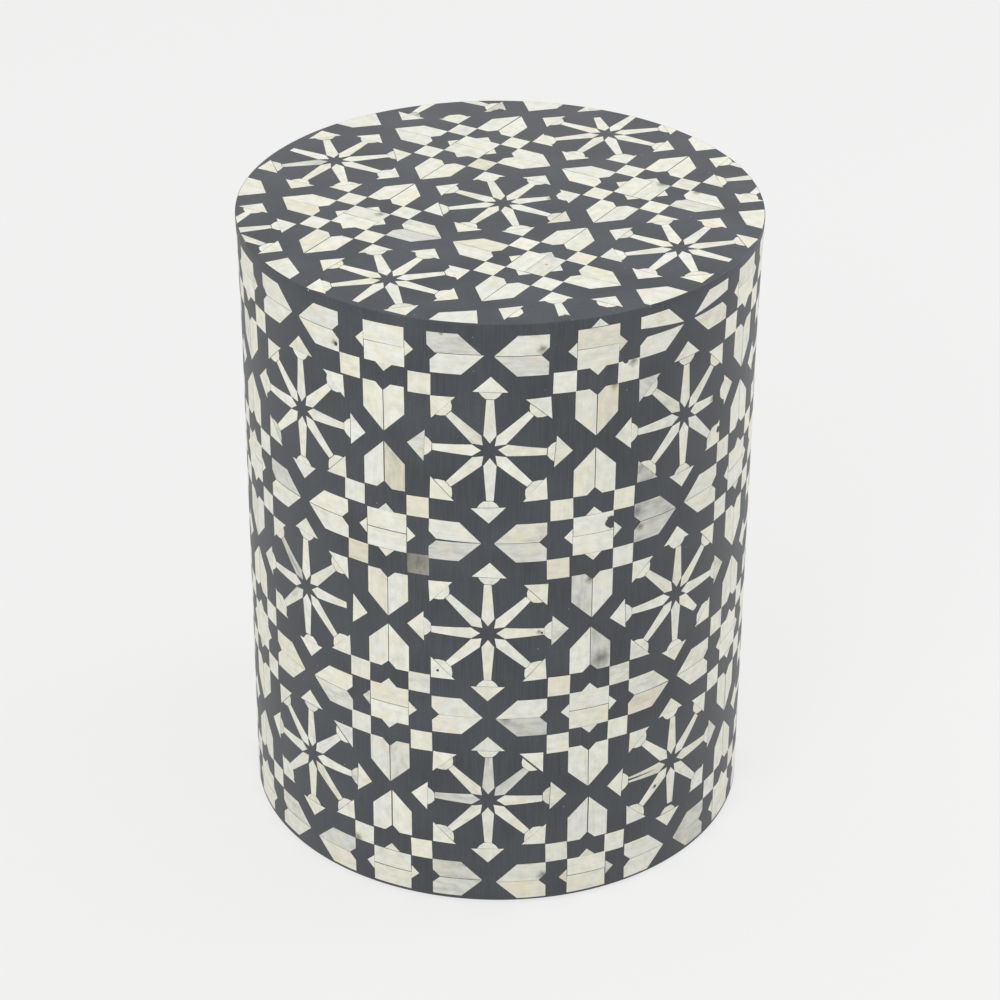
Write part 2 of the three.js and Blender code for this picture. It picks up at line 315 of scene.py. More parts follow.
# %% Pores
pore_group, given, result = new_group(
    "Pores", {"Place": VECTOR, "Spacing": VECTOR, "Size": VALUE, "Share": VALUE}, {"Pores": VALUE}
)
cells_place = add_node(
    pore_group, "ShaderNodeVectorMath", {0: given.outputs["Place"], 1: given.outputs["Spacing"]},
    operation="DIVIDE",
)
cells = add_node(
    pore_group, "ShaderNodeTexVoronoi", {"Vector": cells_place.outputs[0], "Scale": 1.0}
)
near_middle = spread(pore_group, cells.outputs["Distance"], given.outputs["Size"], 0.0)
chosen = math_node(
    pore_group, "LESS_THAN",
    add_node(pore_group, "ShaderNodeSeparateColor", {0: cells.outputs["Color"]}).outputs[0],
    given.outputs["Share"],
)
pore_group.links.new(math_node(pore_group, "MULTIPLY", near_middle, chosen), result.inputs["Pores"])
print("groups:", [group.name for group in bpy.data.node_groups])

# %% [markdown]
# ## Bone
#
# Bone is cut in slips along the grain, so every slip has fine streaks along its own length, and no two have
# quite the same tone: most are ivory, some are greyer, a few are tan or stained. A material for each tone
# would need dozens of them. One material that reads maps on the slips gives every slip its own. "grain" is
# the slip's own flat plan in metres, moved to a fresh place for each one, so the streaks follow the slip
# however it is turned. "slip" holds two numbers that are the same all over one slip: how warm it is, and
# how stained. A few slips have one dark spot, or a bite that was filled with resin: "spot" and "bite"
# measure the way from its middle, with its edge at 1.

# %% What one slip of bone has for itself
def new_material(name):
    made = bpy.data.materials.new(name)
    made.use_nodes = True
    tree = made.node_tree
    return made, tree, tree.nodes["Principled BSDF"]


bone, tree, shader = new_material("bone")
grain_place = add_node(tree, "ShaderNodeUVMap", uv_map="grain").outputs[0]
slip_facts = add_node(tree, "ShaderNodeUVMap", uv_map="slip").outputs[0]
facts = add_node(tree, "ShaderNodeSeparateXYZ", {0: slip_facts}).outputs
warmth, stain = facts[0], facts[1]


def mark(tree, map_name, ragged, inner):
    """A round mark with a ragged edge, from a map that measures the way from its middle."""
    away = add_node(tree, "ShaderNodeUVMap", uv_map=map_name).outputs[0]
    distance = add_node(tree, "ShaderNodeVectorMath", {0: away}, operation="LENGTH").outputs["Value"]
    edge = add_node(tree, "ShaderNodeTexNoise", {"Vector": away, "Scale": 1.6, "Detail": 4.0})
    moved = math_node(tree, "MULTIPLY", math_node(tree, "SUBTRACT", edge.outputs["Fac"], 0.5), ragged)
    return spread(tree, math_node(tree, "ADD", distance, moved), 1.0, inner)


print("each slip has", warmth.name, "for its warmth and", stain.name, "for its stain")

# %% Tones of bone
# The tone of a slip by its warmth, from 0, grey, through ivory, to 1, tan
GREYEST, MOST_TAN = (213, 215, 211), (221, 210, 178)
TONES_BETWEEN = {0.2: (237, 239, 231), 0.45: (246, 247, 234), 0.7: (245, 244, 224), 0.87: (239, 232, 208)}

tones = add_node(tree, "ShaderNodeValToRGB", {0: warmth})
ramp = tones.color_ramp
ramp.elements[0].color = colour(*GREYEST)
ramp.elements[1].color = colour(*MOST_TAN)
for place, tone in TONES_BETWEEN.items():
    ramp.elements.new(place).color = colour(*tone)
print("tones:", len(ramp.elements))


# %% Streaks, clouds and pores of bone
def bone_streaks(length, width, detail):
    """Grain along the slip, with streaks of a length and width in mm."""
    sizes = {"Place": grain_place, "Streak": (length * MM, width * MM, 1), "Detail": detail}
    return use_group(tree, grain_group, sizes)[0]


def bone_clouds(size, low, high):
    return use_group(
        tree, cloud_group, {"Place": grain_place, "Size": size * MM, "Low": low, "High": high}
    )[0]


fine = bone_streaks(9, 0.35, 4.0)
broad = bone_streaks(22, 2.2, 2.0)
smoke = spread(tree, bone_streaks(15, 6, 2.5), 0.35, 0.95, 0.3, 1.0)
amber = bone_clouds(13, 0.48, 0.8)
haze = bone_clouds(7, 0.4, 0.75)
pores = use_group(
    tree, pore_group,
    {"Place": grain_place, "Spacing": (2.6 * MM, 1.1 * MM, 1), "Size": 0.16, "Share": 0.3},
)[0]
print("bone so far:", len(tree.nodes), "nodes")

# %% The bone finish
streaked = tint(tree, tones.outputs[0], fine, 0.3, colour(206, 202, 188))
hazy = tint(tree, streaked, haze, 0.62, colour(195, 195, 181))
warmed = tint(tree, hazy, amber, 0.75, colour(236, 224, 181))
banded = tint(tree, warmed, broad, 0.35, colour(252, 251, 244))
stained = tint(tree, banded, smoke, stain, colour(152, 152, 146))
spotted = tint(tree, stained, mark(tree, "spot", 1.1, 0.1), 0.75, colour(88, 84, 74))
pored = tint(tree, spotted, pores, 0.5, colour(120, 112, 92))
bitten = blend(tree, mark(tree, "bite", 0.9, 0.85), pored, colour(68, 71, 76))
tree.links.new(bitten, shader.inputs["Base Color"])
tree.links.new(spread(tree, fine, 0.0, 1.0, 0.36, 0.5), shader.inputs["Roughness"])
relief = add_node(tree, "ShaderNodeBump", {"Height": fine, "Strength": 0.12, "Distance": 0.05 * MM})
tree.links.new(relief.outputs[0], shader.inputs["Normal"])
shader.inputs["Specular IOR Level"].default_value = 0.4
print("bone:", len(tree.nodes), "nodes")

# %% [markdown]
# ## Resin
#
# The resin is a charcoal filler that was poured between the slips and sanded. On the side the paper went up
# and down, so its scratches are upright. On the top they have no direction. The top's colour is painted a
# shade paler than the side's, a painted sheen, and the side's colour a shade darker, painted shade. The colour
# drifts a little in clouds, there are pinholes where air escaped, and here and there lies a crumb of bone. One
# plain dark colour would do from afar, but close by it would look like plastic.

# %% Scratches, clouds and crumbs of resin
resin, tree, shader = new_material("resin")
place = add_node(tree, "ShaderNodeTexCoord").outputs["Object"]
scratches = use_group(
    tree, grain_group, {"Place": place, "Streak": (0.9 * MM, 0.9 * MM, 26 * MM), "Detail": 3.0}
)[0]


def resin_clouds(size):
    return use_group(tree, cloud_group, {"Place": place, "Size": size * MM, "Low": 0.35, "High": 0.65})[0]


def resin_points(spacing, size, share):
    """Points at a spacing in mm. Their size and their share are counted in cells."""
    sizes = {"Place": place, "Spacing": (spacing * MM,) * 3, "Size": size, "Share": share}
    return use_group(tree, pore_group, sizes)[0]


clouds = resin_clouds(45)
specks = resin_clouds(1.1)
pinholes = resin_points(7, 0.05, 0.35)
crumbs = resin_points(9, 0.055, 0.3)
print("resin so far:", len(tree.nodes), "nodes")

# %% The resin finish
# Painted light: the top gets a paler colour than the side, a painted sheen, which fades in over the eased rim.
# The side's darker colour is painted shade.
height = add_node(tree, "ShaderNodeSeparateXYZ", {0: place}).outputs[2]
painted_sheen_share = spread(tree, height, DRUM_TOP - RIM_EASE, DRUM_TOP)
side_body_painted_shade = blend(tree, clouds, colour(41, 45, 50), colour(60, 64, 69))
top_body_painted_sheen = blend(tree, clouds, colour(54, 58, 64), colour(73, 77, 83))
body = blend(tree, painted_sheen_share, side_body_painted_shade, top_body_painted_sheen)
sanded = tint(tree, body, scratches, 0.45, colour(88, 92, 98))
speckled = tint(tree, sanded, specks, 0.4, colour(50, 54, 60))
holed = blend(tree, pinholes, speckled, colour(34, 35, 38))
crumbed = blend(tree, crumbs, holed, colour(214, 212, 204))
tree.links.new(crumbed, shader.inputs["Base Color"])
shader.inputs["Specular IOR Level"].default_value = 0.6
tree.links.new(spread(tree, scratches, 0.0, 1.0, 0.42, 0.56), shader.inputs["Roughness"])
relief = add_node(
    tree,
    "ShaderNodeBump",
    {"Height": math_node(tree, "SUBTRACT", specks, pinholes), "Strength": 0.15, "Distance": 0.05 * MM},
)
tree.links.new(relief.outputs[0], shader.inputs["Normal"])
print("resin:", len(tree.nodes), "nodes")

# %% [markdown]
# ## Wood, board, paint, steel and plastic
#
# These finish the construction: they show under the drum, at the edge of the wall, and wherever the stool is
# taken apart. The woods could each have rings and knots, but little of them is seen, so one function makes
# them all from the grain and cloud groups: plywood and softwood in long streaks, board in speckles, and the
# base brushed with thin black paint through which its grain shows. The screws are bright steel, dulled a
# little.

# %% The finishes of the construction
WOODS = {
    "plywood": ((206, 172, 124), (160, 122, 78), (30, 30, 1.4), 0.62),
    "softwood": ((214, 184, 138), (176, 138, 90), (2, 2, 60), 0.66),
    "board": ((172, 140, 102), (140, 108, 74), (1.2, 1.2, 1.2), 0.75),
    "painted_base": ((44, 44, 46), (32, 32, 34), (40, 1.2, 9), 0.6),
}


def wood_finish(name, pale, dark, streak, rough):
    """Wood from its pale and dark tone, its streaks' sizes in mm and its least roughness."""
    made, tree, shader = new_material(name)
    pale, dark = colour(*pale), colour(*dark)
    streak = tuple(size * MM for size in streak)
    place = add_node(tree, "ShaderNodeTexCoord").outputs["Object"]
    lines = use_group(tree, grain_group, {"Place": place, "Streak": streak, "Detail": 4.0})
    patches = use_group(tree, cloud_group, {"Place": place, "Size": 60 * MM, "Low": 0.3, "High": 0.7})
    streaked = blend(tree, lines[0], pale, dark)
    shaded = tint(tree, streaked, patches[0], 0.3, dark)
    tree.links.new(shaded, shader.inputs["Base Color"])
    tree.links.new(spread(tree, lines[0], 0.0, 1.0, rough, rough + 0.12), shader.inputs["Roughness"])
    relief = add_node(tree, "ShaderNodeBump", {"Height": lines[0], "Strength": 0.3, "Distance": 0.2 * MM})
    tree.links.new(relief.outputs[0], shader.inputs["Normal"])
    return made


def plain_finish(name, base, worn, rough, metallic):
    """Steel or plastic: one colour that is dulled and scratched in small clouds."""
    made, tree, shader = new_material(name)
    place = add_node(tree, "ShaderNodeTexCoord").outputs["Object"]
    marks = use_group(tree, cloud_group, {"Place": place, "Size": 1.5 * MM, "Low": 0.4, "High": 0.7})
    tree.links.new(blend(tree, marks[0], base, worn), shader.inputs["Base Color"])
    tree.links.new(spread(tree, marks[0], 0.0, 1.0, rough, rough + 0.2), shader.inputs["Roughness"])
    shader.inputs["Metallic"].default_value = metallic
    return made


finishes = {name: wood_finish(name, *facts) for name, facts in WOODS.items()}
finishes["steel"] = plain_finish("steel", colour(196, 198, 200), colour(150, 150, 150), 0.28, 1.0)
finishes["glide"] = plain_finish("glide", colour(38, 38, 39), colour(56, 56, 56), 0.4, 0.0)
finishes["bone"] = bone
finishes["resin"] = resin
print("finishes:", sorted(finishes))

# %% [markdown]
# ## The construction keeps its shapes
#
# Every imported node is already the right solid, so nothing of the carcass is modelled again. It only gets the
# finish of its slot: the record says which node is of what.

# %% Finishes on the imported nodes
for part in frame["record"]["subparts"]:
    node = frame["nodes"][part["node"]]
    node.data.materials.clear()
    node.data.materials.append(finishes[part["material_slot"]])

# %% [markdown]
# ## The coat of resin
#
# The facetted solids give way to one smooth coat. A window for every slip could be cut in it, but the slips
# stand a hair proud, so they hide what lies under them, and a whole coat stays light and smooth. It starts
# as a cylinder, which bisect cuts into rings near the rim, so that it can flare. Its floor comes off, the
# rim's edge is rubbed round with a bevel, and Solidify gives the skin its thickness inwards, so that from
# below it shows as the thin grey ring it is.

# %% A cylinder that flares
COAT_FACETS = 240
FLARE_RINGS = 8

bpy.ops.mesh.primitive_cylinder_add(
    vertices=COAT_FACETS,
    radius=DRUM_RADIUS,
    depth=DRUM_TOP - DRUM_FOOT,
    location=(0, 0, (DRUM_TOP + DRUM_FOOT) / 2),
)
coat = bpy.context.object
coat.name = "resin_coat"
pick(coat)
bpy.ops.object.transform_apply()
edit(coat)
for ring in range(1, FLARE_RINGS + 1):
    bpy.ops.mesh.select_all(action="SELECT")
    height = DRUM_TOP - FLARE_DEPTH * ring / FLARE_RINGS
    bpy.ops.mesh.bisect(plane_co=(0, 0, height), plane_no=(0, 0, 1))
leave_edit()
for vertex in coat.data.vertices:
    growth = radius_at(DRUM_TOP - vertex.co.z) / DRUM_RADIUS
    vertex.co = (vertex.co.x * growth, vertex.co.y * growth, vertex.co.z)
print("cylinder:", len(coat.data.polygons), "faces")

# %% Rubbing a rim round
RIM_STEPS = 3


def choose_faces(made, test):
    """Selects the faces whose middle and normal pass a test. Works in object mode, before edit mode."""
    for vertex in made.data.vertices:
        vertex.select = False
    for edge in made.data.edges:
        edge.select = False
    for face in made.data.polygons:
        face.select = test(face.center, face.normal)


def ease_rim(made):
    """Rubs round the edge of the active piece's flat top."""
    choose_faces(made, lambda middle, normal: normal.z > 0.5)
    bpy.ops.object.mode_set(mode="EDIT")
    bpy.ops.mesh.select_mode(type="FACE")
    bpy.ops.mesh.region_to_loop()
    bpy.ops.mesh.bevel(offset=RIM_EASE, segments=RIM_STEPS, affect="EDGES")
    leave_edit()


print("a rubbed edge has", RIM_STEPS, "steps over", round(RIM_EASE / MM, 2), "mm")

# %% The coat of resin
COAT_SMOOTH_ANGLE = math.radians(35)

choose_faces(coat, lambda middle, normal: normal.z < -0.5)
bpy.ops.object.mode_set(mode="EDIT")
bpy.ops.mesh.select_mode(type="FACE")
bpy.ops.mesh.delete(type="FACE")
leave_edit()
ease_rim(coat)
solidify = coat.modifiers.new("thickness", "SOLIDIFY")
solidify.thickness = COAT_THICKNESS
solidify.offset = -1
bpy.ops.object.modifier_apply(modifier=solidify.name)
bpy.ops.object.shade_smooth_by_angle(angle=COAT_SMOOTH_ANGLE)
coat.data.materials.append(resin)
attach(coat, "root")
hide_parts("side_resin", "top_resin")
print("coat:", len(coat.data.polygons), "faces")

# %% [markdown]
# ## Slips of bone
#
# The whole pattern is cut from nine kinds of slip. Round the middle of a rosette lie eight arms, and each
# arm is a spoke, a flaring cap and a head. Round the middle of a star lie the two slabs of its square, its
# four points, four leaves of two halves each, and four small squares. A star could be drawn in one piece,
# but on the real stool its seams show, so every sawn piece is a slip of its own. A slip is drawn once, as an
# outline, in millimetres from the middle it belongs to, with the arm or leaf along x. The leaves at the rim
# of the top are in one piece, and each was trimmed to its own place: its tip stops short and leans to one
# side.

# %% Outlines of the slips
SEAM = 0.07
SQUARE = 14.45
SPOKE_ROOT, SPOKE_END = 5.4, 37.6
NECK = 42.85
LEAF_TIP, LEAF_SHOULDER = 64.9, 50.1
LEAF_HALF, RIM_LEAF_TAIL = 14.6, 23

SPOKE = [(SPOKE_ROOT, 0), (11.3, -4.3), (SPOKE_END, -2.5), (SPOKE_END, 2.5), (11.3, 4.3)]
CAP = [(37.8, -2.9), (40.0, -5.6), (42.8, -7.5), (42.8, 7.5), (40.0, 5.6), (37.8, 2.9)]
WIDE_CAP = [(37.8, -3.6), (40.3, -6.9), (42.8, -8.9), (42.8, 8.9), (40.3, 6.9), (37.8, 3.6)]
HEAD = [(42.9, -11.7), (54.6, 0), (42.9, 11.7)]
SLAB = [(-14.3, SEAM), (14.3, SEAM), (14.3, SQUARE), (-14.3, SQUARE)]
STAR_POINT = [(SQUARE + 0.1, -6.0), (20.5, 0), (SQUARE + 0.1, 6.0)]
SMALL_SQUARE = [(14.35, 14.35), (29.75, 14.35), (29.75, 29.75), (14.35, 29.75)]
LEAF_UPPER = [(34.9, SEAM), (LEAF_TIP, SEAM), (LEAF_SHOULDER, LEAF_HALF), (29.8, LEAF_HALF), (29.8, 5.2)]
LEAF_LOWER = [(x, -y) for x, y in reversed(LEAF_UPPER)]


def rim_leaf(short, aside):
    """A leaf in one piece, whose tip stops short and leans aside by so many mm."""
    shoulder = LEAF_SHOULDER - short
    right = [(RIM_LEAF_TAIL, -LEAF_HALF), (shoulder, -LEAF_HALF)]
    left = [(shoulder, LEAF_HALF), (RIM_LEAF_TAIL, LEAF_HALF)]
    return [*right, (LEAF_TIP - short, aside), *left]


print("a half leaf has", len(LEAF_UPPER), "corners, a spoke has", len(SPOKE))

# %% [markdown]
# ## Modelling a slip
#
# An outline could be a curve with a thickness, but a curve gives long thin faces that don't bend. So a
# circle with as many corners as the outline is added, and its corners are moved onto the outline. Bisect
# cuts it into a grid of small cells, so that it can follow the drum's curve later. Extrude gives it its
# thickness, and a small bevel along the top edge is the rounding that grinding leaves.

# %% A slip of bone
SLIP_DEPTH = 1.8 * MM
SLIP_PROUD = 0.06 * MM
SLIP_EDGE = 0.12 * MM
CELL = 7 * MM


def slip(name, outline):
    """One slip, flat, with its top a hair over height 0 and its foot in the resin."""
    bpy.ops.object.select_all(action="DESELECT")
    bpy.ops.mesh.primitive_circle_add(vertices=len(outline), fill_type="NGON")
    made = bpy.context.object
    made.name = name
    for vertex, (x, y) in zip(made.data.vertices, outline):
        vertex.co = (x * MM, y * MM, -SLIP_DEPTH)
    low = [min(corner[axis] for corner in outline) * MM for axis in (0, 1)]
    high = [max(corner[axis] for corner in outline) * MM for axis in (0, 1)]
    edit(made)
    for axis in (0, 1):
        cuts = math.ceil((high[axis] - low[axis]) / CELL)
        for cut in range(1, cuts):
            place = [0.0, 0.0, 0.0]
            direction = [0.0, 0.0, 0.0]
            place[axis] = low[axis] + (high[axis] - low[axis]) * cut / cuts
            direction[axis] = 1.0
            bpy.ops.mesh.select_all(action="SELECT")
            bpy.ops.mesh.bisect(plane_co=place, plane_no=direction)
    bpy.ops.mesh.select_all(action="SELECT")
    bpy.ops.mesh.extrude_region_move(
        TRANSFORM_OT_translate={"value": (0, 0, SLIP_DEPTH + SLIP_PROUD)}
    )
    bpy.ops.mesh.region_to_loop()
    bpy.ops.mesh.bevel(offset=SLIP_EDGE, segments=1, affect="EDGES")
    bpy.ops.mesh.select_all(action="SELECT")
    bpy.ops.mesh.normals_make_consistent(inside=False)
    leave_edit()
    add_maps(made)
    return made


def add_maps(made):
    """The slip's flat plan in metres, and the maps for what belongs to one slip."""
    while made.data.uv_layers:
        made.data.uv_layers.remove(made.data.uv_layers[0])
    made.data.uv_layers.new(name="grain")
    for name in ("slip", "spot", "bite"):
        made.data.uv_layers.new(name=name)
    for loop in made.data.loops:
        made.data.uv_layers["grain"].data[loop.index].uv = made.data.vertices[loop.vertex_index].co.xy


print("a slip is", round(SLIP_DEPTH / MM, 2), "mm deep")

# %% One slip of each kind
masters = {
    name: slip("master_" + name, outline)
    for name, outline in {
        "spokes": SPOKE, "caps": CAP, "wide_caps": WIDE_CAP, "heads": HEAD,
        "slabs": SLAB, "star_points": STAR_POINT, "squares": SMALL_SQUARE,
        "leaves_upper": LEAF_UPPER, "leaves_lower": LEAF_LOWER,
    }.items()
}
RIGHT, UP, LEFT, DOWN = range(4)

# The star's column and row, where the leaf points, and by how many mm its tip stops short and leans aside
RIM_LEAVES = {
    (-2, 0): (RIGHT, 3.5, 0), (-2, -1): (RIGHT, 4.5, 0), (-1, -2): (UP, 2.5, 5), (0, -2): (UP, 4.5, -4.5),
    (1, -1): (LEFT, 2, 0), (1, 0): (LEFT, 1, -1), (0, 1): (DOWN, 2, 0), (-1, 1): (DOWN, 2, 0),
}
for (column, row), (count, short, aside) in RIM_LEAVES.items():
    name = f"rim_leaf {column} {row}"
    masters[name] = slip(name, rim_leaf(short, aside))
print("faces of each slip:", {name: len(made.data.polygons) for name, made in masters.items()})

# %% [markdown]
# ## Notes on single slips
#
# Chance alone could make every slip a little different, but on the real stool some differ in ways that the
# eye finds at once. A notebook page for each face lists them. A slip is named by its kind, the column and
# row of its middle, and its number, counted from the right against the clock. A note gives its tone as the
# two numbers of the "slip" map, a shift to the right and up in millimetres, a swing round the middle or a
# lean round its own pivot in degrees, where a short spoke ends, and the middle and radius of a spot or
# bite. A few slips have an outline of their own: half a leaf that was sawn slanting, or a spoke that is
# split.

# %% Notes on the side
TAN, WHITE, GREY, SMOKY = (0.97, 0.15), (0.18, 0.05), (0.05, 0.45), (0.0, 0.9)
SLANT_UPPER = [(29.8, 6.0), (LEAF_TIP, 0.8), (51.1, LEAF_HALF), (29.8, LEAF_HALF)]
SLANT_LOWER = [(x, -y) for x, y in reversed(SLANT_UPPER)]
SPLIT_SPOKE = [
    (SPOKE_ROOT, 0), (11.3, -4.3), (SPOKE_END, -2.4), (SPOKE_END, -0.9), (15, 0.1), (SPOKE_END, 0.7),
    (SPOKE_END, 2.4), (11.3, 4.3),
]

SIDE_NOTES = {
    ("leaves_upper", 7, 0, 2): {"spot": (-37, -9, 3.4), "bite": (-35.8, -9.6, 1.5)},
    ("leaves_upper", 7, 0, 0): {"tone": (0.05, 0.5), "spot": (39, 13.6, 1.8)},
    ("leaves_lower", 7, 0, 0): {"shift": (2, 0), "tone": WHITE},
    ("slabs", 7, 0, 2): {"tone": (0.4, 0.05)},
    ("star_points", 0, 0, 0): {"tone": TAN},
    ("slabs", 0, 0, 0): {"tone": (0.8, 0.25)},
    ("leaves_lower", 0, 0, 2): {"tone": (0.5, 0.25), "spot": (-37, 3.5, 4.5)},
    ("leaves_upper", 0, 0, 2): {"tone": (0.1, 0.4)},
    ("squares", 0, 0, 2): {"tone": (0.5, 0.05)},
    ("squares", 0, 0, 3): {"spot": (25, -16, 4.5), "bite": (19.5, -14, 2.2)},
    ("leaves_upper", 0, 0, 3): {"tone": (0.85, 0.3), "spot": (12, -30, 3.6)},
    ("leaves_upper", 0, 0, 0): {"outline": SLANT_UPPER},
    ("leaves_lower", 0, 0, 0): {"shift": (0, -0.6)},
    ("leaves_lower", 1, 0, 2): {"outline": SLANT_LOWER, "shift": (0, 0.5)},
    ("spokes", 1, 0, 0): {"end": 29, "spot": (29, 0, 3.5)},
    ("heads", 1, 0, 3): {"tone": GREY},
    ("heads", 1, 0, 5): {"tone": SMOKY},
    ("heads", 1, 0, 7): {"bite": (38, -27, 2.5)},
    ("spokes", 0, 0, 0): {"swing": -5, "shift": (0, 1.2)},
    ("caps", 0, 0, 0): {"swing": -3.5, "shift": (0, 0.2)},
    ("heads", 0, 0, 0): {"swing": -3.5, "shift": (0, 0.2)},
    ("heads", 0, 2, 1): {"shift": (0.6, 0.6)},
    ("heads", 7, 2, 1): {"shift": (0.4, 0.4)},
    ("heads", 0, 1, 5): {"bite": (-34.2, -32.5, 1.1)},
    ("leaves_lower", 7, 1, 1): {"tone": (0.97, 0.5)},
    ("leaves_upper", 7, 1, 1): {"tone": WHITE},
    ("squares", 7, 1, 0): {"tone": (0.88, 0.1)},
    ("squares", 7, 1, 2): {"tone": TAN},
    ("squares", 7, 1, 1): {"tone": WHITE},
    ("squares", 7, 1, 3): {"tone": (0.8, 1.0), "spot": (8, -24, 60)},
    ("leaves_lower", 7, 1, 3): {"tone": (0.86, 0.15)},
    ("leaves_upper", 7, 1, 3): {"tone": WHITE},
    ("leaves_upper", 7, 1, 0): {"lean": -2, "tone": WHITE},
    ("leaves_lower", 7, 1, 0): {"tone": GREY},
    ("leaves_upper", 6, 1, 0): {"tone": GREY},
    ("spokes", 7, 1, 3): {"tone": SMOKY},
    ("caps", 7, 1, 0): {"gone": True},
    ("slabs", 0, 1, 0): {"bite": (13.2, 6.2, 5)},
    ("slabs", 0, 1, 2): {"tone": (0.5, 0.05)},
    ("squares", 0, 1, 0): {"tone": (0.75, 0.05)},
    ("squares", 0, 1, 1): {"tone": (0.75, 0.05)},
    ("leaves_lower", 0, 1, 2): {"tone": (0.75, 0.4)},
    ("leaves_upper", 0, 1, 2): {"tone": (0.1, 0.4)},
    ("leaves_upper", 0, 1, 0): {"tone": (0.0, 0.9), "spot": (32, 9, 4)},
    ("leaves_lower", 0, 1, 0): {"tone": (0.0, 0.6), "spot": (35, -4, 4)},
    ("squares", 0, 1, 2): {"tone": (0.92, 0.05)},
    ("squares", 0, 1, 3): {"tone": WHITE},
    ("leaves_lower", 0, 1, 3): {"tone": (0.15, 0.6), "spot": (-2, -35, 4)},
    ("spokes", 0, 1, 0): {"spot": (34, 0, 2.4), "bite": (36, -1, 1)},
    ("spokes", 1, 1, 7): {"end": 30, "bite": (19.5, -23, 1.6)},
    ("slabs", 7, 2, 0): {"tone": (0.82, 0.1)},
    ("slabs", 7, 2, 2): {"tone": (0.5, 0.05)},
    ("squares", 7, 2, 3): {"tone": (0.8, 0.05)},
    ("leaves_lower", 7, 2, 3): {"tone": (0.3, 0.25)},
    ("leaves_upper", 7, 2, 3): {"tone": (0.3, 0.45)},
    ("leaves_upper", 6, 2, 0): {"tone": (0.8, 0.15)},
    ("leaves_upper", 0, 2, 1): {"tone": (0.4, 0.1)},
    ("leaves_lower", 0, 2, 1): {"tone": (0.0, 0.6), "spot": (7, 38, 9)},
    ("leaves_lower", 0, 2, 2): {"tone": (0.3, 0.1)},
    ("leaves_upper", 0, 2, 2): {"tone": (0.0, 0.6), "spot": (-58, -2, 5)},
    ("leaves_upper", 0, 2, 0): {"tone": (0.4, 0.35)},
    ("leaves_lower", 0, 2, 0): {"tone": (0.88, 0.3)},
    ("slabs", 0, 2, 0): {"tone": WHITE},
    ("squares", 0, 2, 1): {"tone": (0.88, 0.05)},
    ("squares", 0, 2, 3): {"tone": (0.5, 0.05)},
    ("squares", 0, 2, 0): {"tone": (0.5, 0.5)},
    ("slabs", 0, 2, 2): {"tone": (0.75, 0.1)},
    ("heads", 7, 2, 3): {"tone": (0.75, 0.1)},
    ("spokes", 0, 2, 1): {"tone": GREY},
    ("spokes", 0, 2, 2): {"tone": (0.1, 0.5)},
    ("spokes", 0, 2, 4): {"tone": GREY},
    ("spokes", 1, 2, 4): {"outline": SPLIT_SPOKE},
    ("spokes", 1, 2, 5): {"spot": (-15, -15, 2.4), "bite": (-14.6, -14.6, 1.2)},
    ("caps", 1, 2, 6): {"shift": (0, -2)},
    ("heads", 1, 2, 6): {"shift": (0, -2)},
    ("squares", 7, 3, 1): {"tone": (0.45, 0.1), "spot": (-28, 16, 5)},
    ("leaves_upper", 7, 3, 0): {"tone": (0.1, 0.6)},
    ("leaves_lower", 7, 3, 0): {"tone": (0.2, 0.5)},
    ("leaves_lower", 7, 3, 2): {"tone": (0.1, 0.4)},
    ("leaves_upper", 7, 3, 2): {"tone": (0.75, 0.1)},
    ("leaves_lower", 0, 3, 2): {"tone": (0.2, 0.3), "spot": (-32, 4, 5)},
    ("leaves_upper", 0, 3, 2): {"tone": (0.88, 0.05)},
    ("star_points", 0, 3, 2): {"tone": TAN},
    ("star_points", 0, 3, 0): {"tone": GREY},
    ("leaves_upper", 1, 3, 2): {"tone": (0.05, 0.6)},
    ("leaves_lower", 1, 3, 2): {"tone": (0.05, 0.5)},
    ("leaves_upper", 6, 3, 0): {"tone": (0.5, 0.6)},
}
print("notes on the side:", len(SIDE_NOTES))

# %% Notes on the top
TOP_NOTES = {
    ("spokes", 0, 0, 1): {"end": 33, "spot": (23, 23, 2.6)},
    ("heads", 0, 0, 0): {"tone": (0.93, 0.2)},
    ("spokes", 0, 1, 3): {"end": 30},
    ("caps", 0, 1, 3): {"gone": True},
    ("spokes", 1, -1, 2): {"gone": True},
    ("spokes", 1, -1, 4): {"gone": True},
    ("spokes", -1, 1, 7): {"gone": True},
    ("spokes", 1, -1, 3): {"bite": (-10.6, 10.6, 5.5)},
    ("heads", -1, 1, 0): {"bite": (52, -6, 6), "tone": GREY},
    ("caps", -1, 1, 6): {"tone": SMOKY, "bite": (-5, -40, 4)},
    ("spokes", -1, -1, 0): {"swing": -3, "shift": (0, 4)},
    ("squares", -1, 0, 3): {"tone": (0.9, 0.2)},
    ("slabs", 0, 0, 2): {"tone": (0.5, 0.3), "spot": (8, 13, 4.5)},
    ("leaves_upper", 0, 0, 0): {"spot": (35, 14, 4)},
    ("leaves_lower", 0, 0, 3): {"tone": (0.7, 0.1)},
    ("slabs", 0, -1, 2): {"tone": (0.3, 0.35), "spot": (7, 2, 1.6)},
    ("leaves_lower", 0, -1, 2): {"tone": (0.88, 0.1)},
    ("leaves_upper", 0, -1, 2): {"tone": WHITE},
    ("slabs", -1, -1, 0): {"tone": (0.2, 0.2), "spot": (8, 11, 4.5)},
    ("leaves_upper", -1, -1, 0): {"tone": (0.5, 0.4)},
    ("leaves_lower", -1, -1, 0): {"tone": (0.1, 0.45)},
    ("leaves_lower", -1, -1, 3): {"tone": (0.86, 0.1)},
    ("leaves_upper", -1, -1, 2): {"tone": (0.85, 0.15)},
}
STRAIGHT_OUT = {(1, 0): 0, (0, 1): 2, (-1, 0): 4, (0, -1): 6}
for (column, row), count in STRAIGHT_OUT.items():
    TOP_NOTES["caps", column, row, count] = {"gone": True}
    TOP_NOTES["heads", column, row, count] = {"gone": True}
NOTES = {"side": SIDE_NOTES, "top": TOP_NOTES}
print("notes on the top:", len(TOP_NOTES))

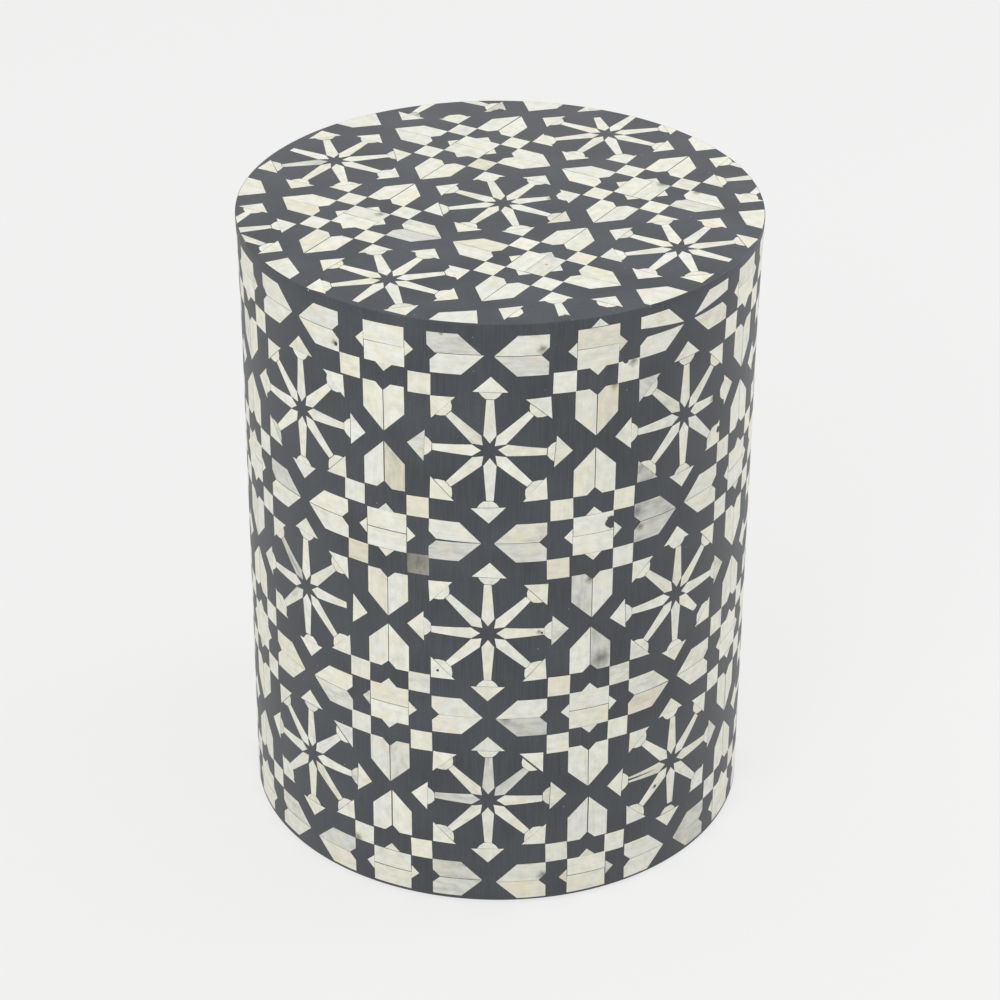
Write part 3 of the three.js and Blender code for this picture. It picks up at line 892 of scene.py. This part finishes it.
# %% Shifts on the side
# Whole rosettes and stars that stand off their place in the rows, by mm right and up
ROSETTE_SHIFTS = {
    (7, 0): (0.6, 0.3), (0, 0): (0, -0.5), (0, 1): (-0.4, -1.2), (1, 1): (-1.4, 0.8), (7, 2): (1.2, 0),
}
STAR_SHIFTS = {(0, 0): (0.5, -0.6), (7, 3): (0.8, 0), (0, 3): (0.6, -0.4)}

# Arm tips, leaves and squares that were laid clearly off their place, by mm right and up.
# A spoke is as much longer or shorter as its tip lies farther out or in.
TIP_SHIFTS = {
    (7, 0, 3): (0.5, -1.5), (7, 0, 6): (0.5, 1.5), (7, 1, 2): (1, 1), (7, 1, 5): (-1, 1.5),
    (7, 1, 6): (2.5, -0.5), (7, 1, 7): (1.5, 0.5), (7, 2, 2): (0.5, -1.5), (7, 2, 4): (2.5, 0.5),
    (7, 2, 6): (0.5, 1.5), (0, 0, 1): (2, -0.5), (0, 0, 3): (1, 0), (0, 0, 6): (-1, 0),
    (0, 0, 7): (-1, 0), (0, 1, 1): (1, -1.5), (0, 1, 2): (1, 0.5), (0, 1, 3): (-1.5, -0.5),
    (0, 1, 4): (-1, 1.5), (0, 2, 0): (-0.5, 1.5), (0, 2, 1): (-2, -0.5), (0, 2, 2): (-0.5, -1.5),
    (0, 2, 3): (0.5, -1.5), (0, 2, 4): (0.5, -1.5), (0, 2, 6): (-0.5, 2), (0, 2, 7): (2, 0.5),
    (1, 0, 4): (-1.5, 1), (1, 0, 7): (0.5, 1.5), (1, 1, 2): (-2, -0.5), (1, 1, 7): (-0.5, 2),
    (1, 2, 1): (-2.5, 2), (1, 2, 2): (-2.5, -1), (1, 2, 6): (-1.5, 1.5),
}
LEAF_SHIFTS = {
    (6, 1, 0): (1.5, -0.5), (6, 2, 0): (1.5, -1), (6, 3, 0): (2.5, 1.5), (7, 0, 0): (-0.5, -1),
    (7, 0, 2): (-3.5, 0), (7, 0, 3): (-1, 1), (7, 1, 0): (-0.5, -1.5), (7, 1, 1): (-1, 2.5),
    (7, 1, 3): (0.5, -1.5), (7, 2, 0): (1.5, -1.5), (7, 2, 2): (0.5, -1.5), (7, 3, 1): (0.5, 1.5),
    (0, 0, 2): (-3, -1), (0, 1, 2): (-1.5, -1.5), (0, 2, 2): (0, -2), (1, 1, 2): (-2, 1.5),
    (1, 2, 2): (-3, 0.5),
}
SQUARE_SHIFTS = {
    (6, 0, 3): (0, -1.5), (6, 1, 3): (1, -2), (6, 3, 0): (2, 1.5), (7, 0, 2): (-3.5, 0),
    (7, 0, 3): (1.5, -2), (7, 1, 1): (-2, 1.5), (7, 2, 3): (1.5, -3), (0, 0, 2): (0, -0.5),
    (0, 1, 2): (-1.5, -1), (0, 2, 2): (0, -3), (0, 3, 0): (-1, -1.5), (1, 0, 2): (0.5, -1.5),
    (1, 1, 1): (-2.5, 2), (1, 1, 2): (-2.5, 0.5), (1, 2, 2): (-1.5, -1.5),
}
SHIFTS = {
    "side": {"caps": TIP_SHIFTS, "heads": TIP_SHIFTS, "leaves": LEAF_SHIFTS, "squares": SQUARE_SHIFTS},
    "top": {},
}
print("shifts:", {kind: len(shifts) for kind, shifts in SHIFTS["side"].items()})

# %% [markdown]
# ## Laying the slips
#
# Nothing on the stool is exact: each slip was sawn and laid by hand. An array modifier would repeat the
# pattern in one step, but every motif would be the same. So a copy of each slip is laid by itself, a little
# out of shape, a little turned and a little off its place. An arm or a leaf is laid as one, and is off its
# place as one. Every copy draws its own tone, and some are stained. The draws are seeded, so the stool is
# the same each time it is made.

# %% What chance decides
hand = random.Random(11)

# How far hand work goes off, in metres and radians
CORNER_ERROR = 0.14 * MM
PLACE_ERROR = 0.1 * MM
ARM_SKEW, ARM_LEAN = math.radians(0.9), math.radians(3.0)
ARM_ALONG, ARM_ASIDE = 0.5 * MM, 0.2 * MM
SLAB_ALONG = 0.2 * MM
POINT_ALONG, POINT_ASIDE = 0.3 * MM, 0.5 * MM
SQUARE_ERROR, SQUARE_LEAN = 0.4 * MM, math.radians(1.5)
LEAF_SKEW = math.radians(0.4)
LEAF_ALONG, LEAF_ASIDE = 0.4 * MM, 0.2 * MM

# How far the two halves of a leaf and of a square are drawn apart, in mm. Standing leaves stand widest.
SEAM_PART = [(0.0, 0.04), (0.1, 0.24)]
SLAB_PART = (0.0, 0.1)

# How stained the slips are, and what share of them is stained heavily
LIGHT_STAIN, HEAVY_STAIN = (0.0, 0.24), (0.25, 0.6)
HEAVY_SHARE = 0.08

# Where in the grain a slip was cut, in metres along both axes of its plan
GRAIN_REACH = (0.1, 0.9)

KIND_OF = {
    "spokes": "spokes", "caps": "caps", "wide_caps": "caps", "heads": "heads", "slabs": "stars",
    "star_points": "star_points", "squares": "squares", "leaves_upper": "leaves", "leaves_lower": "leaves",
}
WARMTH = {
    "spokes": (0.2, 0.75), "caps": (0.2, 0.8), "heads": (0.2, 0.75), "stars": (0.25, 0.75),
    "star_points": (0.2, 0.85), "squares": (0.3, 0.75), "leaves": (0.15, 0.7),
}


def wobble(size):
    return hand.uniform(-size, size)


print("kinds:", sorted(WARMTH))

# %% Helpers for a copy's shape
def places_of(made):
    """The corners of a mesh, one row each, as x, y and z."""
    places = np.empty(3 * len(made.data.vertices))
    made.data.vertices.foreach_get("co", places)
    return places.reshape(-1, 3)


def move_to(made, places):
    made.data.vertices.foreach_set("co", places.ravel())


def turned(x, y, angle):
    return x * math.cos(angle) - y * math.sin(angle), x * math.sin(angle) + y * math.cos(angle)


def corner_warp(places):
    """Moves the four corners of the slip's box a little, and everything between them along."""
    low, high = places[:, :2].min(axis=0), places[:, :2].max(axis=0)
    share = (places[:, :2] - low) / (high - low)
    across, up = share[:, 0], share[:, 1]
    for weight in ((1 - across) * (1 - up), across * (1 - up), (1 - across) * up, across * up):
        places[:, 0] += weight * wobble(CORNER_ERROR)
        places[:, 1] += weight * wobble(CORNER_ERROR)
    return places


def copy_of(master):
    made = master.copy()
    made.data = master.data.copy()
    bpy.context.collection.objects.link(made)
    return made


print("a spoke has", len(places_of(masters["spokes"])), "corners to move")

# %% Maps of a copy
NO_MARK = (9.0, 9.0)


def from_mark(x, y, mark):
    """How far each corner lies from the middle of a spot or bite, counted in its radius."""
    return np.stack(((x / MM - mark[0]) / mark[2], (y / MM - mark[1]) / mark[2]), axis=1)


def fill_maps(made, kind, note, x, y):
    """Gives one slip its place in the grain, its tone and its marks."""
    maps = made.data.uv_layers
    plan = np.empty(2 * len(made.data.loops))
    maps["grain"].data.foreach_get("uv", plan)
    plan = plan.reshape(-1, 2) + (hand.uniform(*GRAIN_REACH), hand.uniform(*GRAIN_REACH))
    maps["grain"].data.foreach_set("uv", plan.ravel())
    warmth = hand.uniform(*WARMTH[kind])
    stain = hand.uniform(*HEAVY_STAIN) if hand.random() < HEAVY_SHARE else hand.uniform(*LIGHT_STAIN)
    maps["slip"].data.foreach_set("uv", np.tile(note.get("tone", (warmth, stain)), len(made.data.loops)))
    corners = [loop.vertex_index for loop in made.data.loops]
    for mark_name in ("spot", "bite"):
        away = from_mark(x, y, note[mark_name])[corners] if mark_name in note else NO_MARK
        maps[mark_name].data.foreach_set("uv", np.broadcast_to(away, (len(corners), 2)).ravel())


print("maps of a slip:", [layer.name for layer in masters["spokes"].data.uv_layers])

# %% Laying one slip
PIVOT = {"caps": (NECK, 0.0), "heads": (NECK, 0.0), "squares": (22.0, 22.0)}
laid = {}


def lay(face, name, place, centre, angle, size=1.0, shift=(0.0, 0.0), skew=0.0, lean=0.0):
    """One copy of a slip: out of shape, leant on its pivot, turned round its motif, and as its note says."""
    note = NOTES[face].get((name, *place), {})
    if note.get("gone"):
        return
    kind = KIND_OF.get(name, "leaves")
    made = slip("own " + name, note["outline"]) if "outline" in note else copy_of(masters[name])
    places = corner_warp(places_of(made))
    x, y = places[:, 0], places[:, 1]
    if kind == "spokes":
        tip_along, tip_up = SHIFTS[face].get("caps", {}).get(place, (0, 0))
        end = note.get("end", SPOKE_END + tip_along * math.cos(angle) + tip_up * math.sin(angle))
        x = SPOKE_ROOT * MM + (x - SPOKE_ROOT * MM) * (end - SPOKE_ROOT) / (SPOKE_END - SPOKE_ROOT)
    pivot_x, pivot_y = PIVOT.get(kind, (LEAF_TIP, 0.0))
    x, y = turned(x - pivot_x * MM, y - pivot_y * MM, lean + math.radians(note.get("lean", 0)))
    x, y = turned(x + pivot_x * MM, y + pivot_y * MM, skew)
    x, y = x * size + shift[0] + wobble(PLACE_ERROR), y * size + shift[1] + wobble(PLACE_ERROR)
    x, y = turned(x, y, angle + math.radians(note.get("swing", 0)))
    for along, up in (note.get("shift", (0, 0)), SHIFTS[face].get(kind, {}).get(place, (0, 0))):
        x, y = x + along * MM, y + up * MM
    places[:, 0], places[:, 1] = x + centre[0], y + centre[1]
    move_to(made, places)
    fill_maps(made, kind, note, x, y)
    laid.setdefault((face, kind), []).append(made)


print("slips that can be copied:", len(masters))

# %% Rosettes and stars
QUARTERS = [math.radians(90 * count) for count in range(4)]
EIGHTHS = [math.radians(45 * count) for count in range(8)]
ARMS_WITH_WIDE_CAPS = (5, 7)


def lay_rosette(face, column, row, centre, size=1.0):
    """Eight arms round a middle. An arm is a spoke, a cap and a head, laid in one line."""
    for count, angle in enumerate(EIGHTHS):
        skew, shift = wobble(ARM_SKEW), (wobble(ARM_ALONG), wobble(ARM_ASIDE))
        lean = wobble(ARM_LEAN)
        place = (column, row, count)
        cap = "wide_caps" if count in ARMS_WITH_WIDE_CAPS else "caps"
        lay(face, "spokes", place, centre, angle, size, shift, skew)
        lay(face, cap, place, centre, angle, size, shift, skew, lean)
        lay(face, "heads", place, centre, angle, size, shift, skew, lean)


def lay_star(face, column, row, centre, size=1.0, seam=0.0, without=()):
    """A square of two slabs with four points, four leaves and four small squares round it."""
    part = hand.uniform(*SLAB_PART) * MM
    for count in (0, 2):
        shift = wobble(SLAB_ALONG), part
        lay(face, "slabs", (column, row, count), centre, QUARTERS[count] + seam, size, shift)
    for count, angle in enumerate(QUARTERS):
        place = (column, row, count)
        if ("point", count) not in without:
            shift = wobble(POINT_ALONG), wobble(POINT_ASIDE)
            lay(face, "star_points", place, centre, angle, size, shift)
        if ("square", count) not in without:
            shift = wobble(SQUARE_ERROR), wobble(SQUARE_ERROR)
            lay(face, "squares", place, centre, angle, size, shift, lean=wobble(SQUARE_LEAN))
        if ("leaf", count) not in without:
            skew, along, aside = wobble(LEAF_SKEW), wobble(LEAF_ALONG), wobble(LEAF_ASIDE)
            part = hand.uniform(*SEAM_PART[count % 2]) * MM
            lay(face, "leaves_upper", place, centre, angle, size, (along, aside + part), skew)
            lay(face, "leaves_lower", place, centre, angle, size, (along, aside - part), skew)


def gather(face, kind):
    """Joins the slips of one kind on one face into one piece."""
    slips = laid[face, kind]
    pick(*slips)
    bpy.ops.object.join()
    made = bpy.context.object
    made.name = face + "_" + kind
    return made


print("arms:", len(EIGHTHS), "leaves:", len(QUARTERS))

# %% [markdown]
# ## The side
#
# Slips could be set on the drum one by one, each with its own turn. It is simpler to lay the side flat
# first, x round the drum to the right and y down from the rim, and to roll the whole sheet of slips round
# the drum at the end. Rosettes stand in eight columns and three rows. Stars stand between them, in four
# rows: the first row is cut off by the rim and has nothing above its squares but one single point, and the
# last one is cut off by the foot.

# %% Laying the side
ABOVE = [("leaf", UP), ("square", RIGHT), ("square", UP), ("point", UP)]
BELOW = [("leaf", DOWN), ("square", LEFT), ("square", DOWN), ("point", DOWN)]

for column in range(COLUMNS):
    for row, drop in enumerate(ROSETTE_DROPS):
        along, up = ROSETTE_SHIFTS.get((column, row), (0, 0))
        lay_rosette("side", column, row, (column * COLUMN_PITCH + along * MM, up * MM - drop))
    for row, drop in enumerate(STAR_DROPS):
        without = ABOVE if row == 0 else BELOW if row == len(STAR_DROPS) - 1 else []
        if (column, row) == (0, 0):
            without = [slot for slot in ABOVE if slot != ("point", UP)]
        along, up = STAR_SHIFTS.get((column, row), (0, 0))
        centre = (column + 0.5) * COLUMN_PITCH + along * MM, up * MM - drop
        lay_star("side", column, row, centre, without=without)
print("slips on the side:", sum(len(slips) for slips in laid.values()))

# %% Rolling the side round the drum
SLIP_SMOOTH_ANGLE = math.radians(30)


def rolled(made):
    """Rolls a flat piece round the drum. Its height above the sheet becomes distance from the drum."""
    x, y, z = places_of(made).T
    angle = x / DRUM_RADIUS + SIDE_TURN
    y = y + TILT * (1 + y / LEVEL_DROP) * np.sin(angle)
    radius = radius_at(-y) + z
    angle = angle + SPREAD_OUT / DRUM_RADIUS * np.sin(angle) ** 3
    move_to(made, np.stack((radius * np.sin(angle), -radius * np.cos(angle), DRUM_TOP + y), axis=1))
    made.data.update()


def finish_bone(made):
    pick(made)
    bpy.ops.object.shade_smooth_by_angle(angle=SLIP_SMOOTH_ANGLE)
    made.data.materials.append(bone)
    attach(made, "root")


kinds = sorted(set(KIND_OF.values()))
side_pieces = [gather("side", kind) for kind in kinds]
for made in side_pieces:
    rolled(made)
    finish_bone(made)
    print(made.name, len(made.data.polygons), "faces")
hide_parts("side_bone")

# %% [markdown]
# ## The top
#
# The same pattern lies on the top, turned on the drum and a little off its middle, and the rim's circle cuts
# through it. The cut outlines could be drawn by hand, but then each would have to be worked out. So slips
# that lie inside are left alone, and those that cross the circle are cut by it: a Boolean keeps what they
# share with a disc that has the coat's own rubbed edge. Their cut edges run to the very rim, and show as a
# thin pale line from the side.

# %% Laying the top
DRAWN_PITCH = 138.5 * MM
TOP_SIZE = TOP_PITCH / DRAWN_PITCH


def on_top(u, v):
    """From the pattern's own net to the drum: stretched, leant out of square, turned and moved."""
    lean = math.sin(TOP_LEAN)
    x, y = turned(TOP_STRETCH[0] * u + lean * v, TOP_STRETCH[1] * v + lean * u, TOP_TURN)
    return x + TOP_OFFSET[0], y + TOP_OFFSET[1]


def star_middle(column, row):
    return (column + 0.5) * TOP_PITCH, (row + 0.5) * TOP_PITCH


for row in range(-TOP_REACH, TOP_REACH + 1):
    for column in range(-TOP_REACH, TOP_REACH + 1):
        lay_rosette("top", column, row, (column * TOP_PITCH, row * TOP_PITCH), TOP_SIZE)
for row in range(-TOP_REACH, TOP_REACH):
    for column in range(-TOP_REACH, TOP_REACH):
        seam = 0.0 if column < 0 else math.radians(90)
        lay_star("top", column, row, star_middle(column, row), TOP_SIZE, seam)
for (column, row), (count, short, aside) in RIM_LEAVES.items():
    name = f"rim_leaf {column} {row}"
    lay("top", name, (column, row, count), star_middle(column, row), QUARTERS[count], TOP_SIZE)
print("slips on the top:", sum(len(slips) for (face, kind), slips in laid.items() if face == "top"))

# %% Cutting the top at the rim
SLIVER = 2 * MM
DISC_DEPTH = 6 * MM
DISC_TOP = DRUM_TOP + 1.5 * SLIP_PROUD


def placed_on_top(made):
    """Turns a slip with the pattern and lifts it on the top. Returns its nearest and farthest radius."""
    x, y, z = places_of(made).T
    x, y = on_top(x, y)
    move_to(made, np.stack((x, y, z + DRUM_TOP), axis=1))
    radii = np.hypot(x, y)
    return radii.min(), radii.max()


def cut_by_circle(made):
    """Keeps of a piece what lies in the disc with the rubbed edge."""
    bpy.ops.mesh.primitive_cylinder_add(
        vertices=COAT_FACETS,
        radius=RIM_RADIUS + SLIP_PROUD / 2,
        depth=DISC_DEPTH,
        location=(0, 0, DISC_TOP - DISC_DEPTH / 2),
    )
    disc = bpy.context.object
    ease_rim(disc)
    boolean = made.modifiers.new("circle", "BOOLEAN")
    boolean.operation, boolean.solver, boolean.object = "INTERSECT", "EXACT", disc
    pick(made)
    bpy.ops.object.modifier_apply(modifier=boolean.name)
    bpy.data.objects.remove(disc)


print("slips that reach less than", round(SLIVER / MM, 1), "mm into the rim's circle are left out")

# %% The slips of the top
for kind in kinds:
    inside, crossing = [], []
    for made in laid["top", kind]:
        nearest, farthest = placed_on_top(made)
        if farthest < RIM_RADIUS - RIM_EASE:
            inside.append(made)
        elif nearest < RIM_RADIUS - SLIVER:
            crossing.append(made)
        else:
            bpy.data.objects.remove(made)
    if crossing:
        laid["top", kind] = crossing
        cut = gather("top", kind)
        cut_by_circle(cut)
        inside.append(cut)
    laid["top", kind] = inside
    made = gather("top", kind)
    finish_bone(made)
    print(made.name, len(made.data.polygons), "faces")
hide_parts("top_bone")

for master in masters.values():
    bpy.data.objects.remove(master)

# %% [markdown]
# ## Floor and light
#
# The stool stands on a pale floor without corners, in soft light from all round, with one large lamp in
# front to the left and a weaker one on the right. A floor that is lit until it looks white would throw too
# much light up on the drum, so this one has two finishes. The light that falls from it on the stool comes
# from plain grey. The camera and the reflections see a darker grey that glows, so the floor stays nearly
# white behind the stool and keeps a soft shadow.

# %% Floor
FLOOR_GREY = 0.6
SEEN_GREY = 0.17
SEEN_GLOW = 0.715

bpy.ops.mesh.primitive_plane_add(size=20, location=(0, 3, 0))
floor = bpy.context.object
floor.name = "floor"
floor_finish, tree, shader = new_material("floor")
shader.inputs["Base Color"].default_value = (FLOOR_GREY, FLOOR_GREY, FLOOR_GREY, 1)
shader.inputs["Roughness"].default_value = 0.9
shader.inputs["Specular IOR Level"].default_value = 0.1
seen = add_node(
    tree,
    "ShaderNodeBsdfPrincipled",
    {"Base Color": (SEEN_GREY, SEEN_GREY, SEEN_GREY, 1), "Roughness": 0.9, "Specular IOR Level": 0.0},
)
seen.inputs["Emission Color"].default_value = (1, 1, 0.995, 1)
seen.inputs["Emission Strength"].default_value = SEEN_GLOW
rays = add_node(tree, "ShaderNodeLightPath").outputs
looking = math_node(tree, "ADD", rays["Is Camera Ray"], rays["Is Glossy Ray"], clamp=True)
looking = math_node(tree, "ADD", looking, rays["Is Transmission Ray"], clamp=True)
either = add_node(tree, "ShaderNodeMixShader", {0: looking, 1: shader.outputs[0], 2: seen.outputs[0]})
tree.links.new(either.outputs[0], tree.nodes["Material Output"].inputs["Surface"])
floor.data.materials.append(floor_finish)
print("floor:", len(tree.nodes), "nodes")

# %% Light
ROOM_LIGHT = 0.79

world = bpy.data.worlds.new("room")
bpy.context.scene.world = world
world.use_nodes = True
surround = world.node_tree.nodes["Background"]
surround.inputs["Color"].default_value = (1, 1, 1, 1)
surround.inputs["Strength"].default_value = ROOM_LIGHT


def lamp(name, place, target, size, watts):
    bpy.ops.object.light_add(type="AREA", location=place)
    made = bpy.context.object
    made.name = name
    made.data.shape = "DISK"
    made.data.size = size
    made.data.energy = watts
    made.rotation_euler = (Vector(target) - Vector(place)).to_track_quat("-Z", "Y").to_euler()
    return made


key = lamp("key", (-1.3, -2.4, 2.2), (0, 0, 0.25), 1.6, 34)
side_light = lamp("side light", (1.65, 0.45, 1.3), (0, 0, 0.3), 1.0, 9)
bpy.context.scene.view_settings.view_transform = "Standard"
print("lamps:", round(key.data.energy), "and", round(side_light.data.energy), "watts, room", ROOM_LIGHT)
